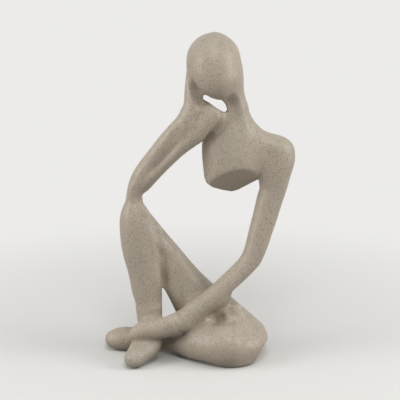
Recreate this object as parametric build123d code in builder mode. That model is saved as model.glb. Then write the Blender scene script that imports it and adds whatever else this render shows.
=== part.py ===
"""A seated thinking figure without a face, cast in sandstone-coloured resin.

The figure is six castings, pinned together with steel dowels and with wires that run inside its
slender limbs. Felt pads under the two feet, the folded knee and the seat keep it off the shelf.

Frame: millimetres, +Z up. The figure faces -Y, its left hand side is on +X, and the origin is on
the shelf, under the middle of the figure.
"""

from build123d import *
from dataclasses import dataclass, replace
from math import cos, pi, radians, sin, tan
import os

# The whole figure
WIDTH = 151.3
DEPTH = 68.0
HEIGHT = 260.0

# Head, seen from the front and from the side
HEAD_WIDTH = 42.6
HEAD_DEPTH = 50.0

# Greatest thickness of each limb: across it in its plane of bending, and deep at right angles
NECK_WIDTH = 17.8
NECK_DEPTH = 20.0
CHEST_WIDTH = 46.0
CHEST_DEPTH = 34.0
SHOULDER_HEIGHT = 42.0
SHOULDER_DEPTH = 26.0
LEFT_ARM_WIDTH = 20.0
LEFT_ARM_DEPTH = 19.0
LEFT_HAND_WIDTH = 17.6
LEFT_HAND_DEPTH = 16.0
FOREARM_WIDTH = 16.5
FOREARM_DEPTH = 17.0
UPPER_ARM_WIDTH = 24.0
UPPER_ARM_DEPTH = 22.0
CHEEK_HAND_WIDTH = 14.0
CHEEK_HAND_DEPTH = 18.0
KNEE_WAIST_WIDTH = 12.2
KNEE_WAIST_DEPTH = 15.0
SHIN_WIDTH = 30.0
SHIN_DEPTH = 27.0
THIGH_WIDTH = 40.0
THIGH_DEPTH = 31.0
HIP_WIDTH = 43.0
HIP_DEPTH = 33.0
FOLDED_KNEE_WIDTH = 56.0
FOLDED_KNEE_DEPTH = 60.0
CALF_HEIGHT = 36.0
CALF_THICKNESS = 34.0

# Steel inside the castings, and the film of resin round it
WIRE_DIAMETER = 2.5
DOWEL_DIAMETER = 4.0
DOWEL_LENGTH = 20.0
BOND_GAP = 0.05
BEND_SHARE = 0.45

# Felt pads
FOOT_PAD_DIAMETER = 6.0
SEAT_PAD_DIAMETER = 12.0
PAD_THICKNESS = 0.8

# Points on the oval of a section
RING_POINTS = 16

X_AXIS = Vector(1, 0, 0)
Y_AXIS = Vector(0, 1, 0)
Z_AXIS = Vector(0, 0, 1)


@dataclass
class Station:
    """One section of a limb: its centre, its size along the axis the limb bends about, its size
    across that axis, and the way the limb heads there, if its neighbours don't say."""

    centre: Vector
    along: float
    across: float
    heading: Vector | None = None


def at(x_share, y_share, z_share):
    """The point at these shares of the figure's width, depth and height."""
    return Vector(x_share * WIDTH, y_share * DEPTH, z_share * HEIGHT)


def route(rows, along, across):
    """Stations from rows of x, y and z shares of the figure, and shares of the limb's sizes."""
    return [
        Station(at(x, y, z), along_share * along, across_share * across)
        for x, y, z, along_share, across_share in rows
    ]


def ring(plane, along, across):
    """A closed oval in a plane, through evenly turned points."""
    points = []
    for step in range(RING_POINTS):
        turn = 2 * pi * step / RING_POINTS
        points.append((cos(turn) * along / 2, sin(turn) * across / 2))
    with BuildSketch(plane) as oval:
        with BuildLine():
            Spline(*points, periodic=True)
        make_face()
    return oval.sketch


def rings(stations, bend_axis):
    """The sections of a limb that bends about one axis, each square to the limb's route."""
    sections = []
    for index, station in enumerate(stations):
        before = stations[max(index - 1, 0)].centre
        after = stations[min(index + 1, len(stations) - 1)].centre
        heading = (station.heading or (after - before)).normalized()
        flat_axis = bend_axis - heading * bend_axis.dot(heading)
        plane = Plane(origin=station.centre, x_dir=flat_axis, z_dir=heading)
        sections.append(ring(plane, station.along, station.across))
    return sections


def facing(stations, heading):
    """The same sections, all of them square to one heading."""
    return [replace(station, heading=heading) for station in stations]


def limb(bend_axis, *stations):
    """A smooth casting through the sections of a limb."""
    return loft(sections=rings(stations, bend_axis))


def rod(start, end, diameter):
    """A straight round rod from one point to another."""
    with BuildPart() as straight:
        with BuildSketch(Plane(origin=start, z_dir=end - start)):
            Circle(diameter / 2)
        extrude(amount=(end - start).length)
    return straight.part


def dowel(middle, heading, diameter):
    """A dowel, or the socket for it, with its middle in the joint that it pins."""
    reach = heading.normalized() * DOWEL_LENGTH / 2
    return rod(middle - reach, middle + reach, diameter)


def pad(middle_shares, diameter):
    """A round felt pad lying on the shelf."""
    middle = at(*middle_shares)
    return rod(middle, middle + Z_AXIS * PAD_THICKNESS, diameter)


def centres(*stations):
    """The middles of some sections of a limb."""
    return [station.centre for station in stations]


def bend_radii(points):
    """One radius for each corner of a bent wire, as large as a share of its shorter run allows."""
    radii = []
    for before, corner, after in zip(points, points[1:], points[2:]):
        run_in = corner - before
        run_out = after - corner
        half_turn = radians(run_in.get_angle(run_out)) / 2
        radii.append(BEND_SHARE * min(run_in.length, run_out.length) / tan(half_turn))
    return radii


def wire(points, diameter):
    """A round wire, or the channel for it, along points, with its corners bent smooth."""
    with BuildPart() as bent:
        with BuildLine() as route_line:
            FilletPolyline(*points, radius=bend_radii(points))
        with BuildSketch(Plane(origin=route_line.line @ 0, z_dir=route_line.line % 0)):
            Circle(diameter / 2)
        sweep()
    return bent.part


# Where one casting meets the next: the place of the joint, its sizes, and the way the limb heads
neck_joint = Station(at(0.195, 0.189, 0.782), NECK_DEPTH, NECK_WIDTH, -Z_AXIS)
left_shoulder_joint = Station(at(0.303, 0.189, 0.639), SHOULDER_DEPTH, SHOULDER_HEIGHT, X_AXIS)
left_wrist_joint = Station(
    at(-0.116, -0.134, 0.125), LEFT_HAND_DEPTH, LEFT_HAND_WIDTH, Vector(-0.90, 0, -0.43)
)
right_wrist_joint = Station(
    at(-0.045, -0.003, 0.762), FOREARM_DEPTH, 0.92 * FOREARM_WIDTH, Vector(0.47, 0, 0.88)
)
knee_waist_place = at(-0.334, 0.101, 0.501)
elbow_joint = Station(knee_waist_place, KNEE_WAIST_DEPTH, KNEE_WAIST_WIDTH, Z_AXIS)
knee_joint = Station(knee_waist_place, KNEE_WAIST_WIDTH, KNEE_WAIST_DEPTH, -Z_AXIS)
hip_place = at(0.051, 0.241, 0.120)
hip_heading = Vector(0.62, 0, -0.78)
hip_joint = Station(hip_place, HIP_DEPTH, HIP_WIDTH, hip_heading)

# Rows of each limb's route: its place, then its thickness along and across the axis it bends about
head_shares = [
    (0.086, 0.101, 1.000, 0.08, 0.07),
    (0.084, 0.101, 0.997, 0.20, 0.18),
    (0.078, 0.101, 0.988, 0.45, 0.46),
    (0.077, 0.101, 0.975, 0.66, 0.67),
    (0.077, 0.101, 0.953, 0.86, 0.87),
    (0.077, 0.101, 0.929, 0.96, 0.96),
    (0.080, 0.101, 0.906, 1.00, 1.00),
    (0.086, 0.094, 0.882, 1.00, 1.00),
    (0.091, 0.086, 0.858, 0.95, 0.92),
    (0.095, 0.079, 0.834, 0.82, 0.74),
    (0.104, 0.072, 0.815, 0.62, 0.52),
    (0.109, 0.072, 0.803, 0.36, 0.30),
    (0.112, 0.072, 0.799, 0.18, 0.14),
]
neck_shares = [
    (0.181, 0.174, 0.807, 1.10, 0.97),
    (0.163, 0.159, 0.835, 1.30, 1.22),
    (0.148, 0.131, 0.863, 1.50, 1.42),
]
cheek_hand_shares = [
    (-0.024, 0.027, 0.790, 0.95, 1.10),
    (-0.021, 0.057, 0.820, 1.00, 1.08),
    (-0.023, 0.072, 0.862, 1.00, 0.90),
    (-0.017, 0.086, 0.912, 0.94, 0.79),
    (-0.002, 0.086, 0.945, 0.72, 0.57),
]
chest_shares = [
    (0.200, 0.189, 0.764, 0.62, 0.39),
    (0.194, 0.197, 0.739, 0.71, 0.58),
    (0.191, 0.197, 0.715, 0.82, 0.79),
    (0.181, 0.189, 0.688, 0.91, 0.97),
    (0.173, 0.174, 0.655, 0.97, 1.02),
    (0.171, 0.159, 0.613, 1.00, 1.00),
    (0.167, 0.159, 0.578, 1.00, 0.99),
    (0.165, 0.172, 0.545, 0.93, 0.92),
    (0.171, 0.189, 0.528, 0.78, 0.74),
    (0.175, 0.200, 0.518, 0.52, 0.48),
    (0.177, 0.209, 0.514, 0.25, 0.22),
]
chest_shoulder_shares = [
    (0.185, 0.189, 0.640, 0.96, 0.92),
]
left_shoulder_shares = [
    (0.330, 0.189, 0.629, 0.92, 0.86),
    (0.364, 0.189, 0.624, 0.82, 0.73),
    (0.396, 0.189, 0.622, 0.62, 0.50),
]
shoulder_cap_shares = [
    (0.350, 0.183, 0.693, 0.12, 0.07),
    (0.352, 0.183, 0.691, 0.31, 0.20),
    (0.358, 0.183, 0.687, 0.56, 0.36),
    (0.373, 0.183, 0.679, 0.77, 0.55),
    (0.384, 0.183, 0.667, 0.90, 0.67),
    (0.392, 0.183, 0.651, 0.97, 0.73),
    (0.397, 0.183, 0.630, 1.00, 0.74),
    (0.398, 0.179, 0.602, 1.00, 0.71),
    (0.393, 0.174, 0.569, 0.96, 0.63),
]
left_arm_shares = [
    (0.383, 0.161, 0.516, 1.14, 1.06),
    (0.367, 0.140, 0.486, 1.06, 1.02),
    (0.353, 0.121, 0.455, 1.00, 0.99),
    (0.323, 0.086, 0.395, 0.95, 0.93),
    (0.293, 0.057, 0.336, 0.89, 0.85),
    (0.259, 0.036, 0.297, 0.87, 0.83),
    (0.191, -0.003, 0.257, 0.86, 0.82),
    (0.120, -0.046, 0.219, 0.84, 0.83),
    (0.044, -0.076, 0.184, 0.84, 0.84),
    (-0.032, -0.104, 0.152, 0.84, 0.86),
]
left_hand_shares = [
    (-0.179, -0.149, 0.111, 1.00, 0.99),
    (-0.250, -0.149, 0.103, 0.94, 0.93),
    (-0.302, -0.156, 0.096, 0.87, 0.84),
    (-0.337, -0.160, 0.085, 0.65, 0.62),
    (-0.358, -0.164, 0.078, 0.30, 0.27),
]
forearm_shares = [
    (-0.327, 0.086, 0.523, 0.94, 0.76),
    (-0.299, 0.072, 0.558, 0.94, 0.93),
    (-0.234, 0.042, 0.614, 0.94, 0.98),
    (-0.156, 0.013, 0.673, 1.00, 1.00),
    (-0.092, -0.003, 0.714, 1.00, 1.05),
]
upper_arm_shares = [
    (-0.314, 0.086, 0.522, 0.45, 0.26),
    (-0.282, 0.079, 0.545, 0.70, 0.52),
    (-0.226, 0.057, 0.588, 0.77, 0.60),
    (-0.170, 0.042, 0.625, 0.79, 0.64),
    (-0.098, 0.027, 0.668, 0.82, 0.70),
    (-0.025, 0.027, 0.705, 0.91, 0.82),
    (0.040, 0.042, 0.740, 1.00, 0.95),
    (0.070, 0.051, 0.757, 1.00, 0.98),
    (0.087, 0.057, 0.768, 0.92, 0.93),
    (0.095, 0.057, 0.773, 0.74, 0.80),
]
shin_shares = [
    (-0.330, 0.101, 0.480, 0.57, 0.70),
    (-0.329, 0.101, 0.449, 0.78, 0.85),
    (-0.316, 0.101, 0.405, 0.95, 0.96),
    (-0.300, 0.101, 0.342, 1.00, 1.00),
    (-0.283, 0.094, 0.288, 0.94, 0.96),
    (-0.270, 0.079, 0.225, 0.85, 0.87),
    (-0.260, 0.065, 0.172, 0.72, 0.78),
    (-0.257, 0.042, 0.122, 0.66, 0.73),
    (-0.256, -0.003, 0.078, 0.66, 0.68),
    (-0.273, -0.120, 0.050, 0.76, 0.64),
    (-0.311, -0.251, 0.035, 0.64, 0.60),
    (-0.340, -0.370, 0.027, 0.50, 0.50),
    (-0.354, -0.424, 0.025, 0.32, 0.34),
    (-0.358, -0.441, 0.025, 0.12, 0.14),
]
thigh_shares = [
    (-0.317, 0.126, 0.450, 0.50, 0.32),
    (-0.279, 0.143, 0.405, 0.64, 0.49),
    (-0.227, 0.159, 0.355, 0.77, 0.61),
    (-0.129, 0.189, 0.259, 0.88, 0.79),
    (-0.029, 0.219, 0.176, 0.97, 0.95),
]
seat_shares = [
    (0.095, 0.248, 0.112, 1.02, 0.98),
    (0.150, 0.248, 0.087, 1.02, 0.93),
    (0.207, 0.233, 0.066, 0.95, 0.84),
    (0.255, 0.219, 0.051, 0.82, 0.70),
    (0.300, 0.204, 0.045, 0.58, 0.47),
    (0.332, 0.197, 0.047, 0.27, 0.21),
]
folded_knee_shares = [
    (0.204, 0.087, 0.160, 0.17, 0.13),
    (0.203, 0.115, 0.150, 0.37, 0.23),
    (0.203, 0.131, 0.138, 0.50, 0.34),
    (0.204, 0.123, 0.123, 0.65, 0.49),
    (0.203, 0.109, 0.108, 0.78, 0.62),
    (0.195, 0.071, 0.088, 0.90, 0.83),
    (0.184, 0.038, 0.065, 0.99, 0.99),
    (0.179, 0.027, 0.042, 1.00, 1.00),
    (0.177, 0.020, 0.019, 0.95, 0.91),
    (0.171, 0.024, 0.000, 0.88, 0.81),
]
calf_shares = [
    (0.253, -0.134, 0.058, 0.50, 0.41),
    (0.213, -0.194, 0.060, 0.75, 0.71),
    (0.134, -0.261, 0.062, 0.89, 0.94),
    (0.068, -0.200, 0.060, 0.83, 0.84),
    (-0.018, -0.076, 0.052, 0.74, 0.73),
    (-0.084, 0.027, 0.041, 0.54, 0.57),
    (-0.144, 0.115, 0.036, 0.42, 0.49),
    (-0.216, 0.189, 0.034, 0.38, 0.47),
    (-0.296, 0.226, 0.034, 0.43, 0.51),
    (-0.369, 0.233, 0.037, 0.52, 0.58),
    (-0.436, 0.241, 0.035, 0.48, 0.52),
    (-0.475, 0.250, 0.031, 0.37, 0.40),
    (-0.496, 0.256, 0.029, 0.16, 0.20),
]

# The flat face under the bust: three of its corners
bust_facet_shares = [(0.075, 0.042, 0.540), (0.312, 0.072, 0.569), (0.227, -0.076, 0.600)]

# Dowels off the middle of a joint: their middles, or how far off it they are
right_shoulder_shares = (0.067, 0.072, 0.704)
right_shoulder_heading = Vector(0.80, 0.34, -0.50)
ankle_shares = (-0.249, 0.094, 0.058)
ankle_heading = Vector(0.13, 0.73, -0.62)
hip_dowel_share = 0.28

# Pads: the middle of each on the shelf
front_foot_pad_shares = (-0.326, -0.321, 0)
back_foot_pad_shares = (-0.385, 0.237, 0)
knee_pad_shares = (0.165, -0.207, 0)
seat_pad_shares = (0.224, 0.233, 0)

# Routes of the limbs
head_route = facing(route(head_shares, HEAD_DEPTH, HEAD_WIDTH), -Z_AXIS)
neck_route = route(neck_shares, NECK_DEPTH, NECK_WIDTH)
cheek_hand_route = route(cheek_hand_shares, CHEEK_HAND_DEPTH, CHEEK_HAND_WIDTH)
chest_route = route(chest_shares, CHEST_DEPTH, CHEST_WIDTH)
chest_shoulder_route = route(chest_shoulder_shares, SHOULDER_DEPTH, SHOULDER_HEIGHT)
left_shoulder_route = facing(
    route(left_shoulder_shares, SHOULDER_DEPTH, SHOULDER_HEIGHT), X_AXIS
)
shoulder_cap_route = facing(
    route(shoulder_cap_shares, SHOULDER_DEPTH, SHOULDER_HEIGHT), -Z_AXIS
)
left_arm_route = route(left_arm_shares, LEFT_ARM_DEPTH, LEFT_ARM_WIDTH)
left_hand_route = route(left_hand_shares, LEFT_HAND_DEPTH, LEFT_HAND_WIDTH)
forearm_route = route(forearm_shares, FOREARM_DEPTH, FOREARM_WIDTH)
upper_arm_route = route(upper_arm_shares, UPPER_ARM_DEPTH, UPPER_ARM_WIDTH)
shin_route = route(shin_shares, SHIN_WIDTH, SHIN_DEPTH)
thigh_route = route(thigh_shares, THIGH_DEPTH, THIGH_WIDTH)
seat_route = facing(route(seat_shares, HIP_DEPTH, HIP_WIDTH), hip_heading)
folded_knee_route = facing(
    route(folded_knee_shares, FOLDED_KNEE_DEPTH, FOLDED_KNEE_WIDTH), -Z_AXIS
)
calf_route = route(calf_shares, CALF_HEIGHT, CALF_THICKNESS)

# Routes of the wires, along the middles of the limbs
left_arm_wire_points = centres(
    chest_shoulder_route[0],
    left_shoulder_route[1],
    left_arm_route[1],
    left_arm_route[4],
    left_arm_route[6],
    left_arm_route[9],
    left_hand_route[1],
)
arm_and_shin_wire_points = centres(
    cheek_hand_route[2],
    right_wrist_joint,
    forearm_route[3],
    forearm_route[1],
    elbow_joint,
    shin_route[2],
    shin_route[4],
    shin_route[7],
)
thigh_wire_points = centres(thigh_route[2], thigh_route[4], hip_joint, *seat_route[:2])

# Places of the dowels
hip_dowel_step = Y_AXIS.cross(hip_heading).normalized() * hip_dowel_share * HIP_WIDTH
hip_dowel_middles = [hip_place - hip_dowel_step, hip_place + hip_dowel_step]
right_shoulder_middle = at(*right_shoulder_shares)
ankle_middle = at(*ankle_shares)

# What is taken out of the castings for the steel
socket_diameter = DOWEL_DIAMETER + 2 * BOND_GAP
channel_diameter = WIRE_DIAMETER + 2 * BOND_GAP
neck_socket = dowel(neck_joint.centre, Z_AXIS, socket_diameter)
right_shoulder_socket = dowel(right_shoulder_middle, right_shoulder_heading, socket_diameter)
ankle_socket = dowel(ankle_middle, ankle_heading, socket_diameter)
hip_sockets = [dowel(middle, hip_heading, socket_diameter) for middle in hip_dowel_middles]
left_arm_channel = wire(left_arm_wire_points, channel_diameter)
arm_and_shin_channel = wire(arm_and_shin_wire_points, channel_diameter)
thigh_channel = wire(thigh_wire_points, channel_diameter)

# The castings stand on their pads, so they are cut flat at the pads' thickness
ground = Plane.XY.offset(PAD_THICKNESS)
facet_corners = [at(*shares) for shares in bust_facet_shares]
facet_normal = (facet_corners[1] - facet_corners[0]).cross(facet_corners[2] - facet_corners[0])
bust_facet = Plane(origin=facet_corners[0], z_dir=facet_normal)
shoulder_plane = Plane(origin=left_shoulder_joint.centre, z_dir=left_shoulder_joint.heading)

shin = limb(X_AXIS, knee_joint, *shin_route)
with BuildPart() as raised_leg:
    add(shin)
    limb(Y_AXIS, *thigh_route, hip_joint)
    limb(Y_AXIS, left_wrist_joint, *left_hand_route)
    split(bisect_by=ground, keep=Keep.TOP)
raised_leg_shape = raised_leg.part
with raised_leg:
    add([left_arm_channel, arm_and_shin_channel, thigh_channel], mode=Mode.SUBTRACT)
    add([ankle_socket, *hip_sockets], mode=Mode.SUBTRACT)

with BuildPart() as folded_leg:
    limb(Y_AXIS, hip_joint, *seat_route)
    limb(Y_AXIS, *folded_knee_route)
    limb(Z_AXIS, *calf_route)
    split(bisect_by=ground, keep=Keep.TOP)
    add(shin, mode=Mode.SUBTRACT)
    add([thigh_channel, ankle_socket, *hip_sockets], mode=Mode.SUBTRACT)

with BuildPart() as torso:
    limb(Y_AXIS, neck_joint, *chest_route)
    split(bisect_by=shoulder_plane, keep=Keep.BOTTOM)
    split(bisect_by=bust_facet, keep=Keep.BOTTOM)
    limb(Y_AXIS, *chest_shoulder_route, left_shoulder_joint)
torso_shape = torso.part
with torso:
    add([neck_socket, right_shoulder_socket, left_arm_channel], mode=Mode.SUBTRACT)

with BuildPart() as left_arm:
    limb(Y_AXIS, *shoulder_cap_route, *left_arm_route, left_wrist_joint)
    add([torso_shape, raised_leg_shape], mode=Mode.SUBTRACT)
    limb(Y_AXIS, left_shoulder_joint, *left_shoulder_route)
    add(left_arm_channel, mode=Mode.SUBTRACT)

upper_arm = limb(Y_AXIS, *upper_arm_route)
with BuildPart() as right_arm:
    limb(Y_AXIS, elbow_joint, *forearm_route, right_wrist_joint)
    add(upper_arm)
    add(torso_shape, mode=Mode.SUBTRACT)
    add([arm_and_shin_channel, right_shoulder_socket], mode=Mode.SUBTRACT)

with BuildPart() as head:
    limb(Y_AXIS, *head_route)
    limb(Y_AXIS, replace(neck_joint, heading=Z_AXIS), *neck_route)
    limb(Y_AXIS, right_wrist_joint, *cheek_hand_route)
    add(upper_arm, mode=Mode.SUBTRACT)
    add([neck_socket, arm_and_shin_channel], mode=Mode.SUBTRACT)

with BuildPart() as left_arm_wire:
    add(wire(left_arm_wire_points, WIRE_DIAMETER))

with BuildPart() as arm_and_shin_wire:
    add(wire(arm_and_shin_wire_points, WIRE_DIAMETER))

with BuildPart() as thigh_wire:
    add(wire(thigh_wire_points, WIRE_DIAMETER))

with BuildPart() as neck_dowel:
    add(dowel(neck_joint.centre, Z_AXIS, DOWEL_DIAMETER))

with BuildPart() as right_shoulder_dowel:
    add(dowel(right_shoulder_middle, right_shoulder_heading, DOWEL_DIAMETER))

with BuildPart() as ankle_dowel:
    add(dowel(ankle_middle, ankle_heading, DOWEL_DIAMETER))

with BuildPart() as hip_dowels:
    for middle in hip_dowel_middles:
        add(dowel(middle, hip_heading, DOWEL_DIAMETER))

with BuildPart() as front_foot_pad:
    add(pad(front_foot_pad_shares, FOOT_PAD_DIAMETER))

with BuildPart() as back_foot_pad:
    add(pad(back_foot_pad_shares, FOOT_PAD_DIAMETER))

with BuildPart() as knee_pad:
    add(pad(knee_pad_shares, SEAT_PAD_DIAMETER))

with BuildPart() as seat_pad:
    add(pad(seat_pad_shares, SEAT_PAD_DIAMETER))

pieces = {
    "head": head,
    "torso": torso,
    "left_arm": left_arm,
    "right_arm": right_arm,
    "raised_leg": raised_leg,
    "folded_leg": folded_leg,
    "left_arm_wire": left_arm_wire,
    "arm_and_shin_wire": arm_and_shin_wire,
    "thigh_wire": thigh_wire,
    "neck_dowel": neck_dowel,
    "right_shoulder_dowel": right_shoulder_dowel,
    "ankle_dowel": ankle_dowel,
    "hip_dowels": hip_dowels,
    "front_foot_pad": front_foot_pad,
    "back_foot_pad": back_foot_pad,
    "knee_pad": knee_pad,
    "seat_pad": seat_pad,
}
os.makedirs("parts", exist_ok=True)
for name, piece in pieces.items():
    piece.part.label = name
    export_step(piece.part, f"parts/{name}.step")
    print(name, len(piece.part.solids()), round(piece.part.volume), piece.part.is_valid)
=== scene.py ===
"""Looks of a seated thinking figure, cast in sandstone-coloured resin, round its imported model.

The figure is worked the way its maker works the pattern for the mould. The six castings are joined
into one body, the inner corners between the limbs are filled with soft fillets, and hollows and
ridges are carved along strokes. Gaps are cut through and outer lines trimmed, and the finished skin
is parted again into one closed mesh per casting.
"""

import logging
import math
from dataclasses import dataclass
from enum import Enum

import bpy
import numpy as np
import openvdb as vdb
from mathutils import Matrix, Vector
from mathutils.bvhtree import BVHTree

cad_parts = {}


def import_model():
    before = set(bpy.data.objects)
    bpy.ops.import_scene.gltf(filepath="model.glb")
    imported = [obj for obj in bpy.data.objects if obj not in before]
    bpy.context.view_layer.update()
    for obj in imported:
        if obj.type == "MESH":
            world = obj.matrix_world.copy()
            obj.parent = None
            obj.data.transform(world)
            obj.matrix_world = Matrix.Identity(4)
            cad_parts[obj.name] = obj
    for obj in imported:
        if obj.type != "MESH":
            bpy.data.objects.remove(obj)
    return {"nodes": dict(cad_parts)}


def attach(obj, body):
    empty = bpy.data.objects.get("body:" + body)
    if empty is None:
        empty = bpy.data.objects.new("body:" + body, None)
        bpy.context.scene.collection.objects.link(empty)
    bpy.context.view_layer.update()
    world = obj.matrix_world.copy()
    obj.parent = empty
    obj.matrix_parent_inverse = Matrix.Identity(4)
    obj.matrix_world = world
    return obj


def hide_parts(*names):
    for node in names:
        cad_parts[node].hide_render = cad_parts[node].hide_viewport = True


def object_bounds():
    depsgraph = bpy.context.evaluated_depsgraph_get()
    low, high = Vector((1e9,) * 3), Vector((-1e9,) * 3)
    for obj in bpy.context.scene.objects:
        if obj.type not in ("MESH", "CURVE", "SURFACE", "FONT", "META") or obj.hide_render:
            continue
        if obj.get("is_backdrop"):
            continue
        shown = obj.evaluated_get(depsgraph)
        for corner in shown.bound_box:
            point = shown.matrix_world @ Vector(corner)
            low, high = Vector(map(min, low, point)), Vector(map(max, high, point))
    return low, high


LOG = logging.getLogger("figure")
MM = 0.001
TINY = 1e-12
PHOTO_SIDE = 400
BEND_NAME = "bend"
FLAT_BEND = 0.5

Pixel = tuple[float, float]
Colour = tuple[float, float, float, float]


class Casting(Enum):
    """The castings, by the names of their nodes."""

    HEAD = "head"
    TORSO = "torso"
    LEFT_ARM = "left_arm"
    RIGHT_ARM = "right_arm"
    RAISED_LEG = "raised_leg"
    FOLDED_LEG = "folded_leg"


class Slot(Enum):
    """The material slots of the record."""

    SANDSTONE = "sandstone_resin"
    STEEL = "steel"
    FELT = "felt"


class Cut(Enum):
    """What a stroke does to the skin: 1 takes material off, and -1 adds it."""

    CARVE = 1
    RAISE = -1


class Side(Enum):
    """The side of the figure that a pixel is looked up on: 1 faces the camera, -1 is behind."""

    FRONT = 1
    BACK = -1


@dataclass(frozen=True)
class Stroke:
    """One pull of a carving tool or a roll of clay, laid on the skin as the camera sees it.

    Args:
        name: what it shapes.
        cut: whether it takes off or adds.
        path: pixels of the photograph that it passes through.
        width: how far it reaches to each side, in metres.
        depth: how much it takes off or adds at its middle, in metres.
        fade: the share of its length at each end over which it comes in.
    """

    name: str
    cut: Cut
    path: tuple[Pixel, ...]
    width: float
    depth: float
    fade: float = 0.3


@dataclass(frozen=True)
class Opening:
    """A gap that is cut through, or an outer line that is trimmed, along the camera's view.

    Args:
        name: the gap or the line.
        outline: corners of what is cut away in the photograph, in order.
        depth: how far the cut reaches from the middle of those corners, in metres.
    """

    name: str
    outline: tuple[Pixel, ...]
    depth: float


@dataclass(frozen=True)
class Fillet:
    """A place where the inner corners are filled with a large radius.

    Args:
        name: the corner.
        pixel: its middle in the photograph.
        reach: how far from that middle the large radius holds, in metres.
        radius: of the filling, in metres.
        side: of the figure.
        blur: width of the bell curve that evens the place out after filling, in metres.
    """

    name: str
    pixel: Pixel
    reach: float
    radius: float
    side: Side = Side.FRONT
    blur: float = 0.0


OPENINGS = (
    Opening(
        "gap under the chin",
        (
            (203.2, 94.6),
            (206.5, 95.2),
            (211.0, 97.8),
            (217.0, 99.7),
            (221.6, 99.9),
            (225.4, 104.0),
            (227.9, 112.2),
            (223.2, 111.8),
            (216.0, 107.6),
            (209.4, 102.7),
            (203.0, 99.2),
        ),
        27 * MM,
    ),
    Opening(
        "gap between the shin and the thigh",
        (
            (161.8, 286.0),
            (165.0, 290.0),
            (170.5, 300.5),
            (176.0, 312.0),
            (168.0, 315.4),
            (162.2, 318.2),
        ),
        40 * MM,
    ),
    Opening(
        "straight upper edge of the thigh",
        (
            (149.0, 190.0),
            (144.2, 195.0),
            (142.4, 199.2),
            (143.2, 202.8),
            (150.0, 212.6),
            (162.5, 228.0),
            (175.0, 242.7),
            (190.0, 258.8),
            (212.5, 282.5),
            (214.0, 272.0),
            (172.0, 214.0),
            (153.0, 192.0),
        ),
        60 * MM,
    ),
    Opening(
        "outer line of the folded arm and the hip",
        (
            (259.4, 265.0),
            (251.0, 274.2),
            (242.0, 282.6),
            (232.6, 291.2),
            (230.8, 296.4),
            (239.2, 303.3),
            (251.4, 313.9),
            (261.4, 322.8),
            (266.9, 329.4),
            (280.0, 322.0),
            (278.0, 276.0),
        ),
        75 * MM,
    ),
    Opening(
        "slope of the chest's lower edge",
        (
            (196.0, 145.0),
            (201.4, 150.0),
            (203.2, 168.0),
            (204.2, 177.0),
            (206.5, 183.0),
            (212.5, 187.2),
            (222.0, 189.8),
            (234.0, 191.8),
            (258.8, 178.9),
            (259.6, 190.0),
            (236.0, 200.0),
            (198.0, 200.0),
        ),
        40 * MM,
    ),
    Opening(
        "flat of the folded knee",
        ((269.2, 335.5), (265.0, 344.0), (251.0, 367.0), (262.0, 374.0), (284.0, 350.0)),
        45 * MM,
    ),
)
FILLETS = (
    Fillet("chest and left shoulder", (256, 150), 36 * MM, 24 * MM),
    Fillet("back of the chest and shoulder", (252, 140), 34 * MM, 24 * MM, Side.BACK),
    Fillet("neck on the chest", (236, 112), 22 * MM, 8 * MM),
    Fillet("neck on the head", (240, 96), 12 * MM, 8 * MM),
    Fillet("knee and thigh", (146, 226), 22 * MM, 16 * MM),
    Fillet("folded calf under the forearm", (206, 322), 16 * MM, 16 * MM),
    Fillet("hip and folded knee", (256, 324), 17 * MM, 24 * MM),
    Fillet("folded calf and knee", (243, 348), 26 * MM, 24 * MM),
    Fillet("elbow on the knee", (134, 201), 13 * MM, 8 * MM),
    Fillet("thigh above the pit", (240, 308), 11 * MM, 24 * MM),
    Fillet("left wrist", (170, 322), 12 * MM, 8 * MM),
    Fillet("back of the thigh and hip", (234, 297), 18 * MM, 16 * MM, Side.BACK),
    Fillet("back of the thigh and calf", (190, 319), 20 * MM, 8 * MM, Side.BACK),
    Fillet("thigh under the forearm", (224, 312), 16 * MM, 40 * MM, blur=3 * MM),
)
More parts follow.
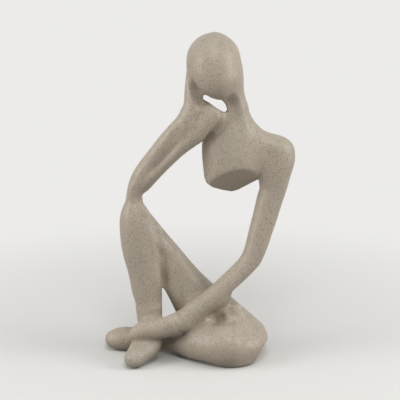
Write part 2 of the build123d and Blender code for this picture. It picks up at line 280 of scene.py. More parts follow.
STROKES = (
    Stroke(
        "hollow between the raised hand and the jaw",
        Cut.CARVE,
        ((191.0, 76), (194.0, 88), (198.0, 98.5), (203.0, 110)),
        5.2 * MM,
        4.0 * MM,
        fade=0.4,
    ),
    Stroke(
        "deepest fold of the hollow by the jaw",
        Cut.CARVE,
        ((195.0, 87), (198.6, 97), (201.4, 107)),
        3.8 * MM,
        3.0 * MM,
    ),
    Stroke(
        "outer edge of the raised hand",
        Cut.RAISE,
        ((188.0, 66), (187.6, 82), (188.5, 94), (187.5, 105)),
        4.0 * MM,
        0.8 * MM,
    ),
    Stroke(
        "edge of the raised hand under the chin",
        Cut.RAISE,
        ((206.0, 103), (214.5, 109), (223.5, 115)),
        3.6 * MM,
        0.9 * MM,
    ),
    Stroke(
        "crease between the raised hand and the chest",
        Cut.CARVE,
        ((229.0, 114), (223.0, 122), (213.0, 132.5), (203.5, 141.5)),
        6.0 * MM,
        3.2 * MM,
    ),
    Stroke(
        "shade under the chin",
        Cut.CARVE,
        ((226.0, 97), (232.0, 102), (232.5, 112)),
        7.0 * MM,
        1.8 * MM,
    ),
    Stroke(
        "soft edge down the neck",
        Cut.RAISE,
        ((239.0, 96), (243.0, 110), (248.0, 131)),
        6.0 * MM,
        1.0 * MM,
    ),
    Stroke(
        "pit and crease between the thigh and the folded calf",
        Cut.CARVE,
        ((210.0, 324.0), (218.0, 320.0), (227.0, 316.0)),
        5.0 * MM,
        3.2 * MM,
    ),
    Stroke(
        "shade under the forearm on the thigh",
        Cut.CARVE,
        ((217.5, 311.0), (205.0, 320.0)),
        4.5 * MM,
        1.0 * MM,
    ),
    Stroke(
        "crest of the folded calf",
        Cut.RAISE,
        ((203.0, 333.5), (216.0, 329.5), (232.0, 327.0), (252.0, 326.0)),
        8.0 * MM,
        1.0 * MM,
    ),
    Stroke(
        "upper edge of the front foot",
        Cut.RAISE,
        ((151.0, 343), (137.0, 351), (126.0, 359)),
        4.5 * MM,
        0.8 * MM,
    ),
    Stroke(
        "valley of the folded arm",
        Cut.CARVE,
        ((183.0, 118), (170.4, 146.3), (156.6, 167.0), (140.0, 181.0)),
        6.5 * MM,
        1.5 * MM,
    ),
    Stroke(
        "upper edge of the folded arm",
        Cut.RAISE,
        ((188.7, 109), (165.0, 137), (137.0, 169.3)),
        5.0 * MM,
        0.6 * MM,
    ),
    Stroke(
        "lower edge of the folded arm",
        Cut.RAISE,
        ((200.2, 131), (188.7, 142), (150.0, 178.5), (143.5, 191.0)),
        4.0 * MM,
        0.8 * MM,
    ),
    Stroke(
        "front of the elbow",
        Cut.CARVE,
        ((138.0, 184), (134.5, 196), (136.0, 212)),
        6.0 * MM,
        0.9 * MM,
    ),
    Stroke(
        "upper edge of the thigh from the knee down",
        Cut.RAISE,
        ((140.0, 200), (150.0, 214), (158.0, 226), (168.0, 238)),
        9.0 * MM,
        3.4 * MM,
    ),
    Stroke(
        "hollow of the thigh beside the shin",
        Cut.CARVE,
        ((164.0, 246), (174.0, 276), (188.0, 304)),
        13.0 * MM,
        2.6 * MM,
    ),
    Stroke(
        "inner edge of the shin",
        Cut.RAISE,
        ((143.0, 208), (154.0, 240.5), (158.5, 261), (159.0, 314)),
        5.5 * MM,
        0.9 * MM,
    ),
    Stroke(
        "crease between the shin and the thigh",
        Cut.CARVE,
        ((156.0, 238), (163.0, 258), (165.5, 292)),
        4.6 * MM,
        2.4 * MM,
    ),
)


@dataclass(frozen=True)
class Skin:
    """A surface: its points, one row each, and its faces, one row of point numbers each."""

    points: np.ndarray
    faces: np.ndarray

    def facing_out(self) -> "Skin":
        """The same skin with its faces turned outwards, which makes its volume positive."""
        first, second, third = (self.points[self.faces[:, i]].astype(float) for i in range(3))
        volume = np.einsum("ij,ij->i", first, np.cross(second, third)).sum()
        return self if volume > 0 else Skin(self.points, self.faces[:, ::-1])


def linear(red: int, green: int, blue: int) -> Colour:
    """A colour of the screen, 0 to 255, as Blender's linear one."""

    def channel(value: int) -> float:
        """One channel by the sRGB formula."""
        share = value / 255
        return share / 12.92 if share <= 0.04045 else ((share + 0.055) / 1.055) ** 2.4

    return channel(red), channel(green), channel(blue), 1.0


def falloff(distance: np.ndarray, reach: float) -> np.ndarray:
    """1 at no distance, smoothly 0 at the reach and beyond."""
    share = np.clip(1 - (distance / reach) ** 2, 0, 1)
    return share * share


@dataclass(frozen=True)
class PhotoCamera:
    """The camera of the photograph.

    Args:
        target: the point in the middle of the picture.
        distance: from the camera to that point.
        elevation: how far it looks down, in degrees.
        focal_pixels: the focal length, in pixels of the photograph.
        sensor: the width of its sensor, in millimetres.
        clip_end: how far it sees, in metres.
    """

    target: Vector = Vector((1.30 * MM, 8.87 * MM, 127.57 * MM))
    distance: float = 1.1
    elevation: float = 15.0
    focal_pixels: float = 1402.8
    sensor: float = 36.0
    clip_end: float = 20.0

    @property
    def forward(self) -> Vector:
        """The way it looks."""
        tilt = math.radians(self.elevation)
        return Vector((0, math.cos(tilt), -math.sin(tilt)))

    @property
    def place(self) -> Vector:
        """Where it stands."""
        return self.target - self.forward * self.distance

    def ray(self, pixel: Pixel) -> Vector:
        """The way from the camera through a pixel of the photograph."""
        right = Vector((1, 0, 0))
        up = right.cross(self.forward)
        middle = PHOTO_SIDE / 2
        aim = self.forward * self.focal_pixels
        return (aim + right * (pixel[0] - middle) + up * (middle - pixel[1])).normalized()

    def pixels(self, places: np.ndarray) -> tuple[np.ndarray, np.ndarray]:
        """The pixels at which places show, and the size of a pixel there in metres."""
        from_camera = places - np.array(self.place, np.float32)
        deep = from_camera @ np.array(self.forward, np.float32)
        right = Vector((1, 0, 0))
        up = np.array(right.cross(self.forward), np.float32)
        scale = deep / self.focal_pixels
        middle = PHOTO_SIDE / 2
        across = from_camera[..., 0] / scale + middle
        down = middle - from_camera @ up / scale
        return np.stack([across, down], axis=-1), scale

    def build(self) -> None:
        """Sets up the scene's camera."""
        data = bpy.data.cameras.new("photo_camera")
        data.sensor_width = self.sensor
        data.lens = self.focal_pixels / PHOTO_SIDE * self.sensor
        data.clip_end = self.clip_end
        camera = bpy.data.objects.new("photo_camera", data)
        camera.location = self.place
        camera.rotation_euler = self.forward.to_track_quat("-Z", "Y").to_euler()
        bpy.context.scene.collection.objects.link(camera)
        bpy.context.scene.camera = camera


@dataclass(frozen=True)
class Lattice:
    """Evenly spaced points round the figure, at which distances to its surface are kept.

    Args:
        step: from one point to the next.
        first: the lattice numbers of its lowest corner.
        counts: how many points there are along each axis.
    """

    step: float
    first: tuple[int, int, int]
    counts: tuple[int, int, int]

    @classmethod
    def around(cls, low: list[float], high: list[float], step: float, margin: float) -> "Lattice":
        """The lattice that holds a box and a margin round it."""
        first = tuple(math.floor((value - margin) / step) for value in low)
        last = tuple(math.ceil((value + margin) / step) for value in high)
        return cls(step, first, tuple(b - a + 1 for a, b in zip(first, last)))

    def distances(self, skin: Skin, reach: float) -> np.ndarray:
        """Signed distances to a closed skin, negative inside.

        Args:
            skin: triangles or quadrilaterals.
            reach: how far from the skin distances are right; beyond it they stay at this value.

        Returns:
            One distance for each point of the lattice.
        """
        kind = "triangles" if skin.faces.shape[1] == 3 else "quads"
        grid = vdb.FloatGrid.createLevelSetFromPolygons(
            np.ascontiguousarray(skin.points, np.float32),
            **{kind: np.ascontiguousarray(skin.faces, np.uint32)},
            transform=vdb.createLinearTransform(voxelSize=self.step),
            halfWidth=reach / self.step,
        )
        values = np.full(self.counts, grid.background, np.float32)
        grid.copyToArray(values, ijk=self.first)
        return values

    def skin(self, distances: np.ndarray, level: float = 0.0) -> Skin:
        """The surface at one level of the distances."""
        grid = vdb.FloatGrid(float(distances.max()))
        grid.transform = vdb.createLinearTransform(voxelSize=self.step)
        grid.copyFromArray(distances, ijk=self.first)
        points, quads = grid.convertToQuads(level)
        return Skin(points, quads.astype(np.int64)).facing_out()

    def closed(self, skin: Skin, radius: float, band: float) -> np.ndarray:
        """The distances to a body whose inner corners are filled to a radius.

        The body is grown by the radius and shrunk by it again.

        Args:
            skin: of the body.
            radius: of the filling.
            band: how far from the new skin distances are kept.
        """
        grown = self.skin(self.distances(skin, radius + band), radius)
        return self.distances(grown, radius + band) + np.float32(radius)

    def axis(self, index: int) -> np.ndarray:
        """The coordinates of the lattice's points along one axis."""
        return (self.first[index] + np.arange(self.counts[index])) * self.step

    def window(self, low: np.ndarray, high: np.ndarray) -> tuple[slice, slice, slice]:
        """The part of the lattice inside a box."""
        spans = []
        for index in range(3):
            start = math.floor(low[index] / self.step) - self.first[index]
            end = math.ceil(high[index] / self.step) - self.first[index] + 1
            spans.append(slice(max(start, 0), min(max(end, 0), self.counts[index])))
        return tuple(spans)

    def places(self, window: tuple[slice, slice, slice]) -> np.ndarray:
        """The places of the lattice's points inside a window."""
        axes = [self.axis(index)[window[index]] for index in range(3)]
        return np.stack(np.meshgrid(*axes, indexing="ij"), axis=-1).astype(np.float32)

    def sample(self, values: np.ndarray, points: np.ndarray) -> np.ndarray:
        """Values at free points, weighted between the eight lattice points round each."""
        spot = points / self.step - np.array(self.first)
        spot = np.clip(spot, 0, np.array(self.counts) - 1.001)
        corner = spot.astype(int)
        share = spot - corner
        total = np.zeros(len(points))
        for step in np.ndindex(2, 2, 2):
            weight = np.prod(np.where(step, share, 1 - share), axis=1)
            x, y, z = (corner + step).T
            total += weight * values[x, y, z]
        return total

    def slope(self, values: np.ndarray, points: np.ndarray, span: float) -> np.ndarray:
        """The direction in which values grow at free points, one unit vector each."""
        rise = np.empty((len(points), 3))
        for index, shift in enumerate(np.eye(3) * span):
            ahead = self.sample(values, points + shift)
            rise[:, index] = ahead - self.sample(values, points - shift)
        return rise / np.maximum(np.linalg.norm(rise, axis=1, keepdims=True), TINY)

    def bend(self, values: np.ndarray, points: np.ndarray, span: float) -> np.ndarray:
        """How the skin bends at free points: above 0 on an edge, and below it in a hollow."""
        total = np.zeros(len(points))
        for shift in np.vstack([np.eye(3), -np.eye(3)]) * span:
            total += self.sample(values, points + shift)
        return total / 6 - self.sample(values, points)


def smoothed(values: np.ndarray, sigma: float, tail: float = 2.5) -> np.ndarray:
    """Values blurred by a bell curve.

    Args:
        values: one for each point of a lattice.
        sigma: the width of the bell curve, in steps of the lattice.
        tail: how many of its widths the curve is followed out to.

    Returns:
        The blurred values, as many as before.
    """
    reach = max(1, math.ceil(sigma * tail))
    weights = np.exp(-0.5 * (np.arange(-reach, reach + 1) / sigma) ** 2)
    weights /= weights.sum()
    for axis in range(3):
        padded = np.pad(values, [(reach, reach) if i == axis else (0, 0) for i in range(3)], "edge")
        blurred = np.zeros_like(values)
        for start, weight in enumerate(weights):
            part = [slice(None)] * 3
            part[axis] = slice(start, start + values.shape[axis])
            blurred += np.float32(weight) * padded[tuple(part)]
        values = blurred
    return values


@dataclass(frozen=True)
class Tint:
    """A colour that is laid over the stone where a pattern has certain values.

    Args:
        colour: of the tint.
        none: the pattern's value at which there is none of it.
        full: the pattern's value at which there is most of it.
        share: how much that is, of 1.
    """

    colour: Colour
    none: float
    full: float
    share: float


@dataclass(frozen=True)
class Sandstone:
    """Cast resin with a fine sandstone grain, matt, with a faint dry sheen.

    Args:
        name: of the material.
        warm: colour of the warm patches.
        cool: colour of the cool patches between them.
        patch_ramp: values of the patch pattern between which cool turns to warm.
        body: the stone's main colour, laid over the patches.
        grit: dark grains.
        clusters: dark grains that lie close together.
        light_grit: pale grains.
        hollow: painted shade, a darker colour laid where the skin bends into hollows and creases.
        edge: paler stone where edges are rubbed.
        patch_scale: swings of the patch pattern in a metre.
        grain_scale: swings of the grain in a metre.
        cluster_scale: swings of the clusters in a metre.
        fine_scale: swings of the finest grain in a metre.
        roughness: of the surface.
        specular: strength of its gloss.
        bump_height: height of the grain, in metres.
        bump_strength: how much of that height shows.
        fine_bump: share of the finest grain in the height.
    """

    name: str = "sandstone_resin"
    warm: Colour = linear(174, 159, 141)
    cool: Colour = linear(167, 157, 141)
    patch_ramp: tuple[float, float] = (0.35, 0.65)
    body: Tint = Tint(linear(172, 160, 145), 0.45, 0.55, 0.50)
    grit: Tint = Tint(linear(124, 108, 90), 0.50, 0.68, 0.60)
    clusters: Tint = Tint(linear(124, 108, 90), 0.55, 0.72, 0.25)
    light_grit: Tint = Tint(linear(198, 190, 176), 0.50, 0.66, 0.50)
    # Painted shade: the hollow tint darkens hollows and creases, read from the skin's bend
    # attribute.
    hollow: Tint = Tint(linear(128, 113, 94), 0.46, 0.30, 0.55)
    edge: Tint = Tint(linear(198, 190, 176), 0.58, 0.80, 0.35)
    patch_scale: float = 26.0
    grain_scale: float = 850.0
    cluster_scale: float = 187.0
    fine_scale: float = 1500.0
    roughness: float = 0.41
    specular: float = 0.42
    bump_height: float = 0.10 * MM
    bump_strength: float = 0.9
    fine_bump: float = 0.6

    def build(self) -> bpy.types.Material:
        """The material, on object coordinates and the skin's own bend attribute."""
        material = bpy.data.materials.new(self.name)
        material.use_nodes = True
        tree = Nodes(material.node_tree)
        place = tree.add("ShaderNodeTexCoord").outputs["Object"]
        patches = tree.noise(place, self.patch_scale, detail=3)
        grain = tree.noise(place, self.grain_scale, detail=4)
        fine = tree.noise(place, self.fine_scale, detail=2)
        clusters = tree.noise(place, self.cluster_scale, detail=5)
        attribute = tree.add("ShaderNodeAttribute")
        attribute.attribute_name = BEND_NAME
        bend = attribute.outputs["Fac"]
        colour = tree.mix(tree.ramp(patches, *self.patch_ramp), self.cool, self.warm)
        for pattern, tint in (
            (patches, self.body),
            (grain, self.grit),
            (clusters, self.clusters),
            (fine, self.light_grit),
            # Painted shade: darker colour in the hollows, where the bend is lowest.
            (bend, self.hollow),
            (bend, self.edge),
        ):
            share = tree.scaled(tree.ramp(pattern, tint.none, tint.full), tint.share)
            colour = tree.mix(share, colour, tint.colour)
        height = tree.add("ShaderNodeMath")
        height.operation = "ADD"
        tree.link(grain, height.inputs[0])
        tree.link(tree.scaled(fine, self.fine_bump), height.inputs[1])
        bump = tree.add("ShaderNodeBump")
        bump.inputs["Distance"].default_value = self.bump_height
        bump.inputs["Strength"].default_value = self.bump_strength
        tree.link(height.outputs[0], bump.inputs["Height"])
        surface = tree.surface()
        tree.link(colour, surface.inputs["Base Color"])
        tree.link(bump.outputs["Normal"], surface.inputs["Normal"])
        surface.inputs["Roughness"].default_value = self.roughness
        surface.inputs["Specular IOR Level"].default_value = self.specular
        return material


@dataclass(frozen=True)
class DrawnSteel:
    """Bright drawn wire and rod, unevenly polished.

    Args:
        name: of the material.
        metal: its colour.
        polish_scale: swings of the polish in a metre.
        roughest: the roughness where it is polished least.
    """

    name: str = "drawn_steel"
    metal: Colour = linear(176, 178, 180)
    polish_scale: float = 2400.0
    roughest: float = 0.6

    def build(self) -> bpy.types.Material:
        """The material, on object coordinates."""
        material = bpy.data.materials.new(self.name)
        material.use_nodes = True
        tree = Nodes(material.node_tree)
        place = tree.add("ShaderNodeTexCoord").outputs["Object"]
        polish = tree.noise(place, self.polish_scale, detail=2)
        surface = tree.surface()
        tree.link(tree.scaled(polish, self.roughest), surface.inputs["Roughness"])
        surface.inputs["Base Color"].default_value = self.metal
        surface.inputs["Metallic"].default_value = 1.0
        return material


@dataclass(frozen=True)
class Felt:
    """Dark pressed felt: matted fibres that run every way.

    Args:
        name: of the material.
        dark: colour between the fibres.
        pale: colour of the fibres.
        pale_ramp: values of the fibre pattern between which dark turns to pale.
        fibre_scale: swings of the fibres in a metre.
        stir: how far they are stirred.
        bump_height: of the fibres, in metres.
        sheen: of their tips.
    """

    name: str = "pressed_felt"
    dark: Colour = linear(44, 41, 38)
    pale: Colour = linear(84, 79, 72)
    pale_ramp: tuple[float, float] = (0.4, 0.65)
    fibre_scale: float = 1900.0
    stir: float = 2.5
    bump_height: float = 0.15 * MM
    sheen: float = 0.4

    def build(self) -> bpy.types.Material:
        """The material, on object coordinates."""
        material = bpy.data.materials.new(self.name)
        material.use_nodes = True
        tree = Nodes(material.node_tree)
        place = tree.add("ShaderNodeTexCoord").outputs["Object"]
        fibres = tree.noise(place, self.fibre_scale, detail=6, distortion=self.stir)
        bump = tree.add("ShaderNodeBump")
        bump.inputs["Distance"].default_value = self.bump_height
        tree.link(fibres, bump.inputs["Height"])
        surface = tree.surface()
        colour = tree.mix(tree.ramp(fibres, *self.pale_ramp), self.dark, self.pale)
        tree.link(colour, surface.inputs["Base Color"])
        tree.link(bump.outputs["Normal"], surface.inputs["Normal"])
        surface.inputs["Roughness"].default_value = 1.0
        surface.inputs["Sheen Weight"].default_value = self.sheen
        return material


class Nodes:
    """A node tree that is written to by short calls."""

    def __init__(self, tree: bpy.types.NodeTree) -> None:
        """Empties the tree.

        Args:
            tree: of a material or the world.
        """
        self.tree = tree
        tree.nodes.clear()

    def add(self, kind: str) -> bpy.types.Node:
        """A new node of a kind."""
        return self.tree.nodes.new(kind)

    def link(self, out: bpy.types.NodeSocket, into: bpy.types.NodeSocket) -> None:
        """Joins an output to an input."""
        self.tree.links.new(out, into)

    def surface(self) -> bpy.types.Node:
        """A Principled shader that is joined to the material's output."""
        shader = self.add("ShaderNodeBsdfPrincipled")
        self.link(shader.outputs[0], self.add("ShaderNodeOutputMaterial").inputs["Surface"])
        return shader

    def noise(
        self, place: bpy.types.NodeSocket, scale: float, detail: float, distortion: float = 0.0
    ) -> bpy.types.NodeSocket:
        """A noise texture's value.

        Args:
            place: the coordinates.
            scale: how many swings there are in a metre.
            detail: how many finer octaves it has.
            distortion: how far it is stirred.

        Returns:
            Its output, about 0.5 on average.
        """
        texture = self.add("ShaderNodeTexNoise")
        texture.inputs["Scale"].default_value = scale
        texture.inputs["Detail"].default_value = detail
        texture.inputs["Distortion"].default_value = distortion
        self.link(place, texture.inputs["Vector"])
        return texture.outputs["Fac"]

    def ramp(self, value: bpy.types.NodeSocket, start: float, end: float) -> bpy.types.NodeSocket:
        """0 at one value and 1 at another, smoothly between them."""
        node = self.add("ShaderNodeMapRange")
        node.interpolation_type = "SMOOTHSTEP"
        node.inputs["From Min"].default_value = min(start, end)
        node.inputs["From Max"].default_value = max(start, end)
        node.inputs["To Min"].default_value = 0.0 if start < end else 1.0
        node.inputs["To Max"].default_value = 1.0 if start < end else 0.0
        self.link(value, node.inputs["Value"])
        return node.outputs["Result"]

    def scaled(self, value: bpy.types.NodeSocket, factor: float) -> bpy.types.NodeSocket:
        """A value times a number."""
        node = self.add("ShaderNodeMath")
        node.operation = "MULTIPLY"
        node.inputs[1].default_value = factor
        self.link(value, node.inputs[0])
        return node.outputs[0]

    def mix(
        self,
        share: bpy.types.NodeSocket,
        first: bpy.types.NodeSocket | Colour,
        second: bpy.types.NodeSocket | Colour,
    ) -> bpy.types.NodeSocket:
        """Two colours, mixed.

        Args:
            share: how much of the second there is.
            first: a colour or a node's output.
            second: a colour or a node's output.

        Returns:
            The mixed colour.
        """
        node = self.add("ShaderNodeMix")
        node.data_type = "RGBA"
        self.link(share, node.inputs["Factor"])
        for name, colour in (("A", first), ("B", second)):
            socket = next(s for s in node.inputs if s.name == name and s.type == "RGBA")
            if isinstance(colour, tuple):
                socket.default_value = colour
            else:
                self.link(colour, socket)
        return next(s for s in node.outputs if s.type == "RGBA")

    def seen_rays(self) -> bpy.types.NodeSocket:
        """1 for rays from the camera, a gloss or through glass, and 0 for rays that light."""
        path = self.add("ShaderNodeLightPath")
        total = path.outputs["Is Camera Ray"]
        for name in ("Is Glossy Ray", "Is Transmission Ray"):
            node = self.add("ShaderNodeMath")
            node.operation = "MAXIMUM"
            self.link(total, node.inputs[0])
            self.link(path.outputs[name], node.inputs[1])
            total = node.outputs[0]
        return total


@dataclass
class Figure:
    """The six castings, shaped as one body and parted again.

    Args:
        camera: the photograph's camera, through which the strokes are laid on the skin.
        nodes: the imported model's nodes.
        box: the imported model's lowest and highest corners.
        step: the lattice's step.
        margin: how far the lattice goes beyond the box.
        fine_radius: the fillet of every inner corner.
        softness: how far the castings are blurred before they are carved.
        edge_softness: how far the carved skin is blurred.
        label_reach: how far from its casting the skin may lie.
        band: how far from the skin distances are kept.
        bend_span: over which length the bend of the skin is read.
        fillets: the corners that are filled.
        openings: the gaps and the trimmed lines.
        strokes: the hollows and ridges.
    """

    camera: PhotoCamera
    nodes: dict[str, bpy.types.Object]
    box: list[list[float]]
    step: float = 0.8 * MM
    margin: float = 12.0 * MM
    fine_radius: float = 1.6 * MM
    softness: float = 0.7 * MM
    edge_softness: float = 0.45 * MM
    label_reach: float = 6.0 * MM
    band: float = 4.0 * MM
    bend_span: float = 2.4 * MM
    fillets: tuple[Fillet, ...] = FILLETS
    openings: tuple[Opening, ...] = OPENINGS
    strokes: tuple[Stroke, ...] = STROKES

    def build(self) -> dict[Casting, bpy.types.Object]:
        """One closed mesh object for each casting, whose normals carry on across the joints."""
        lattice = Lattice.around(*self.box, self.step, self.margin)
        LOG.info("lattice of %s points from %s", lattice.counts, lattice.first)
        reach = self.label_reach
        near = {casting: lattice.distances(self.solid(casting), reach) for casting in Casting}
        body = self.filleted(lattice, np.minimum.reduce(list(near.values())))
        LOG.info("fillets made")
        body = smoothed(body, self.softness / self.step)
        body = self.carved(lattice, body)
        body = self.opened(lattice, body)
        body = smoothed(body, self.edge_softness / self.step)
        skin = lattice.skin(body)
        LOG.info("skin: %d points, %d faces", len(skin.points), len(skin.faces))
        return self.parted(lattice, body, near, skin)

    def solid(self, casting: Casting) -> Skin:
        """The triangles of a casting's node, with its joint and steel channels as they are."""
        mesh = self.nodes[casting.value].data
        mesh.calc_loop_triangles()
        points = np.empty(len(mesh.vertices) * 3, np.float32)
        mesh.vertices.foreach_get("co", points)
        faces = np.empty(len(mesh.loop_triangles) * 3, np.int32)
        mesh.loop_triangles.foreach_get("vertices", faces)
        return Skin(points.reshape(-1, 3), faces.reshape(-1, 3))

    def filleted(self, lattice: Lattice, body: np.ndarray) -> np.ndarray:
        """The body with a fine fillet everywhere and the broad ones at the named places."""
        grown = lattice.skin(body, self.fine_radius)
        fine = lattice.distances(grown, self.fine_radius + self.band)
        fine += np.float32(self.fine_radius)
        skin = lattice.skin(fine)
        tree = self.tree(skin)
        radii = sorted({fillet.radius for fillet in self.fillets})
        coarse = Lattice.around(*self.box, 2 * self.step, radii[-1] + 2 * self.band)
        filled = {radius: coarse.closed(skin, radius, self.band) for radius in radii}
        for fillet in self.fillets:
            middle = self.on_skin(tree, fillet.pixel, fillet.side)
            window = lattice.window(middle - fillet.reach, middle + fillet.reach)
            places = lattice.places(window)
            broad = coarse.sample(filled[fillet.radius], places.reshape(-1, 3))
            gain = np.maximum(fine[window] - broad.reshape(places.shape[:3]), 0)
            away = np.linalg.norm(places - middle.astype(np.float32), axis=-1)
            share = falloff(away, fillet.reach).astype(np.float32)
            fine[window] -= gain * share
            if fillet.blur:
                blurred = smoothed(fine[window], fillet.blur / self.step)
                fine[window] += (blurred - fine[window]) * share
        return fine

    def tree(self, skin: Skin) -> BVHTree:
        """The skin, ready for rays."""
        return BVHTree.FromPolygons(skin.points.tolist(), skin.faces.tolist())

    def on_skin(self, tree: BVHTree, pixel: Pixel, side: Side = Side.FRONT) -> np.ndarray:
        """The point of the skin at a pixel of the photograph, or the nearest to its middle ray.

        Args:
            tree: the skin, ready for rays.
            pixel: of the photograph.
            side: whether the first or the last point along the pixel's ray is wanted.
        """
        way = self.camera.ray(pixel)
        middle = self.camera.place + way * self.camera.distance
        start = middle - way * self.camera.distance * side.value
        hit = tree.ray_cast(start, way * side.value)[0] or tree.find_nearest(middle)[0]
        return np.array(hit)

    def carved(self, lattice: Lattice, body: np.ndarray) -> np.ndarray:
        """The body after all strokes."""
        tree = self.tree(lattice.skin(body))
        for stroke in self.strokes:
            corners = np.array([self.on_skin(tree, pixel) for pixel in stroke.path])
            window = lattice.window(
                corners.min(axis=0) - stroke.width, corners.max(axis=0) + stroke.width
            )
            places = lattice.places(window)
            away = np.full(places.shape[:3], np.inf, np.float32)
            share = np.zeros(places.shape[:3], np.float32)
            lengths = np.linalg.norm(np.diff(corners, axis=0), axis=1)
            passed = 0.0
            for start, end, length in zip(corners, corners[1:], lengths):
                run = (end - start).astype(np.float32)
                from_start = places - start.astype(np.float32)
                along = np.clip(from_start @ run / max(float(run @ run), TINY), 0, 1)
                off = np.linalg.norm(from_start - along[..., None] * run, axis=-1)
                share = np.where(off < away, (passed + along * length) / lengths.sum(), share)
                away = np.minimum(away, off)
                passed += length
            to_end = np.minimum(share, 1 - share)
            strength = falloff(away, stroke.width) * (1 - falloff(to_end, stroke.fade))
            body[window] += np.float32(stroke.cut.value * stroke.depth) * strength
        return body

    def opened(self, lattice: Lattice, body: np.ndarray) -> np.ndarray:
        """The body after its gaps are cut through and its outer lines trimmed."""
        tree = self.tree(lattice.skin(body))
        for opening in self.openings:
            corners = np.array([self.on_skin(tree, pixel) for pixel in opening.outline])
            middle = corners.mean(axis=0)
            window = lattice.window(
                corners.min(axis=0) - opening.depth, corners.max(axis=0) + opening.depth
            )
            places = lattice.places(window)
            spots, scale = self.camera.pixels(places)
            inside = -outline_distance(spots, opening.outline) * scale
            away = np.linalg.norm(places - middle.astype(np.float32), axis=-1)
            inside = np.minimum(inside, (opening.depth - away).astype(np.float32))
            body[window] = np.maximum(body[window], inside)
        return body

    def parted(
        self,
        lattice: Lattice,
        body: np.ndarray,
        near: dict[Casting, np.ndarray],
        skin: Skin,
    ) -> dict[Casting, bpy.types.Object]:
        """The skin cut up by the nearest casting, each cut closed by a cap inside the body.

        Args:
            lattice: on which the distances are kept.
            body: distances to the finished skin.
            near: distances to each casting.
            skin: the finished skin.

        Returns:
            One object for each casting.
        """
        middles = skin.points[skin.faces].mean(axis=1)
        apart = [lattice.sample(near[casting], middles) for casting in Casting]
        owner = np.argmin(apart, axis=0)
        normals = lattice.slope(body, skin.points, self.step)
        bend = lattice.bend(body, skin.points, self.bend_span) / self.bend_span
        return {
            casting: self.piece(casting, skin, skin.faces[owner == index], normals, bend)
            for index, casting in enumerate(Casting)
        }

    def piece(
        self,
        casting: Casting,
        skin: Skin,
        faces: np.ndarray,
        normals: np.ndarray,
        bend: np.ndarray,
    ) -> bpy.types.Object:
        """The mesh of one casting.

        Args:
            casting: whose name the object gets.
            skin: the whole skin.
            faces: the rows of the skin's faces that are this casting's.
            normals: one for each point of the skin.
            bend: how the skin bends at each of its points.

        Returns:
            A closed mesh object at the origin.
        """
        used, numbers = np.unique(faces, return_inverse=True)
        faces = numbers.reshape(-1, 4)
        points = [tuple(point) for point in skin.points[used].tolist()]
        caps = []
        for loop in open_loops(faces):
            centre = len(points)
            points.append(tuple(np.mean([points[i] for i in loop], axis=0)))
            caps += [(b, a, centre) for a, b in zip(loop, loop[1:] + loop[:1])]
        mesh = bpy.data.meshes.new(casting.value)
        mesh.from_pydata(points, [], faces.tolist() + caps)
        layer = mesh.attributes.new(BEND_NAME, "FLOAT", "POINT")
        values = np.zeros(len(points), np.float32)
        values[: len(used)] = bend[used]
        layer.data.foreach_set("value", values + np.float32(FLAT_BEND))
        mesh.shade_smooth()
        own = [tuple(normal) for normal in normals[used].tolist()]
        flat = len(faces)
        mesh.normals_split_custom_set(
            [
                own[mesh.loops[i].vertex_index] if face.index < flat else tuple(face.normal)
                for face in mesh.polygons
                for i in face.loop_indices
            ]
        )
        piece = bpy.data.objects.new(f"{casting.value}_skin", mesh)
        bpy.context.scene.collection.objects.link(piece)
        return piece


def outline_distance(spots: np.ndarray, outline: tuple[Pixel, ...]) -> np.ndarray:
    """How far spots of the picture are outside an outline, or inside it if negative, in pixels."""
    away = np.full(spots.shape[:-1], np.inf, np.float32)
    inside = np.zeros(spots.shape[:-1], bool)
    across, down = spots[..., 0], spots[..., 1]
    for start, end in zip(outline, outline[1:] + outline[:1]):
        run = np.subtract(end, start).astype(np.float32)
        from_start = spots - np.array(start, np.float32)
        along = np.clip(from_start @ run / float(run @ run), 0, 1)
        away = np.minimum(away, np.linalg.norm(from_start - along[..., None] * run, axis=-1))
        crosses = (start[1] > down) != (end[1] > down)
        with np.errstate(divide="ignore", invalid="ignore"):
            edge = start[0] + (down - start[1]) * run[0] / run[1]
        inside ^= crosses & (across < edge)
    return np.where(inside, -away, away)


def open_loops(faces: np.ndarray) -> list[list[int]]:
    """The rings of edges that only one face has, in the order and direction of those faces."""
    starts = faces.ravel()
    ends = np.roll(faces, -1, axis=1).ravel()
    edges = set(zip(starts.tolist(), ends.tolist()))
    following: dict[int, list[int]] = {}
    for start, end in edges:
        if (end, start) not in edges:
            following.setdefault(start, []).append(end)
    loops = []
    while following:
        start = min(following)
        loop = [start]
        spot = following[start].pop()
        if not following[start]:
            del following[start]
        while spot != start:
            loop.append(spot)
            ahead = following[spot].pop()
            if not following[spot]:
                del following[spot]
            spot = ahead
        loops.append(loop)
    return loops


@dataclass(frozen=True)
class Softbox:
    """A rectangular lamp with a soft cover.

    Args:
        name: of the lamp.
        place: of its middle, in metres.
        width: across, in metres.
        height: upright, in metres.
        watts: its power.
    """

    name: str
    place: Vector
    width: float
    height: float
    watts: float

    def build(self, target: Vector) -> None:
        """The lamp, turned to a target."""
        data = bpy.data.lights.new(self.name, "AREA")
        data.shape = "RECTANGLE"
        data.size = self.width
        data.size_y = self.height
        data.energy = self.watts
        lamp = bpy.data.objects.new(self.name, data)
        lamp.location = self.place
        lamp.rotation_euler = (target - self.place).to_track_quat("-Z", "Y").to_euler()
        bpy.context.scene.collection.objects.link(lamp)


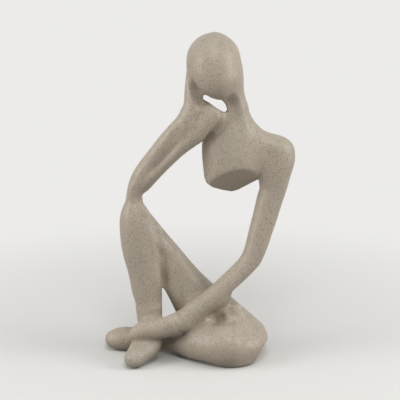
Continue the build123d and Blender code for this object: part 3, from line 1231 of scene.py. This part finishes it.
@dataclass(frozen=True)
class Studio:
    """A pale floor, a pale surround and soft lamps at both sides.

    Args:
        target: what the lamps are turned to.
        floor_radius: of the disc, in metres.
        floor_sides: of the disc.
        floor_colour: as it is seen.
        far_colour: of the floor further out and of the surround, as they are seen.
        shadow_reach: between which distances from the figure the lit floor ends, in metres.
        bounce_colour: of the floor as it lights the figure.
        ambient: strength of the light from the surround.
        lamps: the soft lamps.
    """

    target: Vector
    floor_radius: float = 8.0
    floor_sides: int = 64
    floor_colour: Colour = linear(230, 229, 226)
    far_colour: Colour = linear(236, 235, 233)
    shadow_reach: tuple[float, float] = (0.10, 0.42)
    bounce_colour: Colour = linear(150, 148, 145)
    ambient: float = 0.30
    lamps: tuple[Softbox, ...] = (
        Softbox("left_softbox", Vector((-0.82, -0.28, 0.42)), 0.5, 0.7, 4.4),
        Softbox("right_softbox", Vector((0.85, -0.20, 0.42)), 0.5, 0.7, 4.8),
        Softbox("top_softbox", Vector((0.05, -0.15, 1.0)), 0.5, 0.5, 1.2),
        Softbox("front_softbox", Vector((0.05, -0.85, 1.05)), 0.5, 0.5, 4.6),
    )

    def build(self) -> None:
        """Floor, surround and lamps."""
        for lamp in self.lamps:
            lamp.build(self.target)
        self.surround()
        self.floor()

    def surround(self) -> None:
        """A world that lights softly and looks pale to the camera and in reflections."""
        world = bpy.data.worlds.new("surround")
        world.use_nodes = True
        bpy.context.scene.world = world
        tree = Nodes(world.node_tree)
        light = tree.add("ShaderNodeBackground")
        light.inputs["Color"].default_value = (1, 1, 1, 1)
        light.inputs["Strength"].default_value = self.ambient
        seen = tree.add("ShaderNodeBackground")
        seen.inputs["Color"].default_value = self.far_colour
        mix = tree.add("ShaderNodeMixShader")
        tree.link(tree.seen_rays(), mix.inputs[0])
        tree.link(light.outputs[0], mix.inputs[1])
        tree.link(seen.outputs[0], mix.inputs[2])
        tree.link(mix.outputs[0], tree.add("ShaderNodeOutputWorld").inputs["Surface"])

    def floor(self) -> None:
        """A pale disc, lit near the figure and evenly pale further out."""
        mesh = bpy.data.meshes.new("floor")
        sides = range(self.floor_sides)
        rim = [
            (self.floor_radius * math.cos(turn), self.floor_radius * math.sin(turn), 0.0)
            for turn in (2 * math.pi * side / self.floor_sides for side in sides)
        ]
        mesh.from_pydata(rim, [], [tuple(sides)])
        material = bpy.data.materials.new("floor")
        material.use_nodes = True
        tree = Nodes(material.node_tree)
        lit = tree.add("ShaderNodeBsdfDiffuse")
        colour = tree.mix(tree.seen_rays(), self.bounce_colour, self.floor_colour)
        tree.link(colour, lit.inputs["Color"])
        pale = tree.add("ShaderNodeEmission")
        pale.inputs["Color"].default_value = self.far_colour
        away = tree.add("ShaderNodeVectorMath")
        away.operation = "LENGTH"
        tree.link(tree.add("ShaderNodeTexCoord").outputs["Object"], away.inputs[0])
        far = tree.ramp(away.outputs["Value"], *self.shadow_reach)
        share = tree.add("ShaderNodeMath")
        share.operation = "MULTIPLY"
        tree.link(far, share.inputs[0])
        tree.link(tree.seen_rays(), share.inputs[1])
        mix = tree.add("ShaderNodeMixShader")
        tree.link(share.outputs[0], mix.inputs[0])
        tree.link(lit.outputs[0], mix.inputs[1])
        tree.link(pale.outputs[0], mix.inputs[2])
        tree.link(mix.outputs[0], tree.add("ShaderNodeOutputMaterial").inputs["Surface"])
        mesh.materials.append(material)
        floor = bpy.data.objects.new("floor", mesh)
        bpy.context.scene.collection.objects.link(floor)
        floor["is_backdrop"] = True


def main() -> None:
    """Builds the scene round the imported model."""
    logging.basicConfig(level=logging.INFO, format="%(message)s")
    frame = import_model()
    cad_box = [list(corner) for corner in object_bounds()]
    camera = PhotoCamera()
    camera.build()
    Studio(camera.target).build()
    bpy.context.scene.view_settings.view_transform = "Standard"
    stone = Sandstone().build()
    hidden = {Slot.STEEL: DrawnSteel().build(), Slot.FELT: Felt().build()}
    castings = {casting.value for casting in Casting}
    for name, node in frame["nodes"].items():
        if name not in castings:
            slot = Slot.FELT if name.endswith("_pad") else Slot.STEEL
            node.data.materials.clear()
            node.data.materials.append(hidden[slot])
    figure = Figure(camera, frame["nodes"], cad_box)
    for casting, piece in figure.build().items():
        piece.data.materials.append(stone)
        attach(piece, "root")
        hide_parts(casting.value)
        LOG.info("%s: %d faces", piece.name, len(piece.data.polygons))
    bpy.context.view_layer.update()


if __name__ == "__main__":
    main()
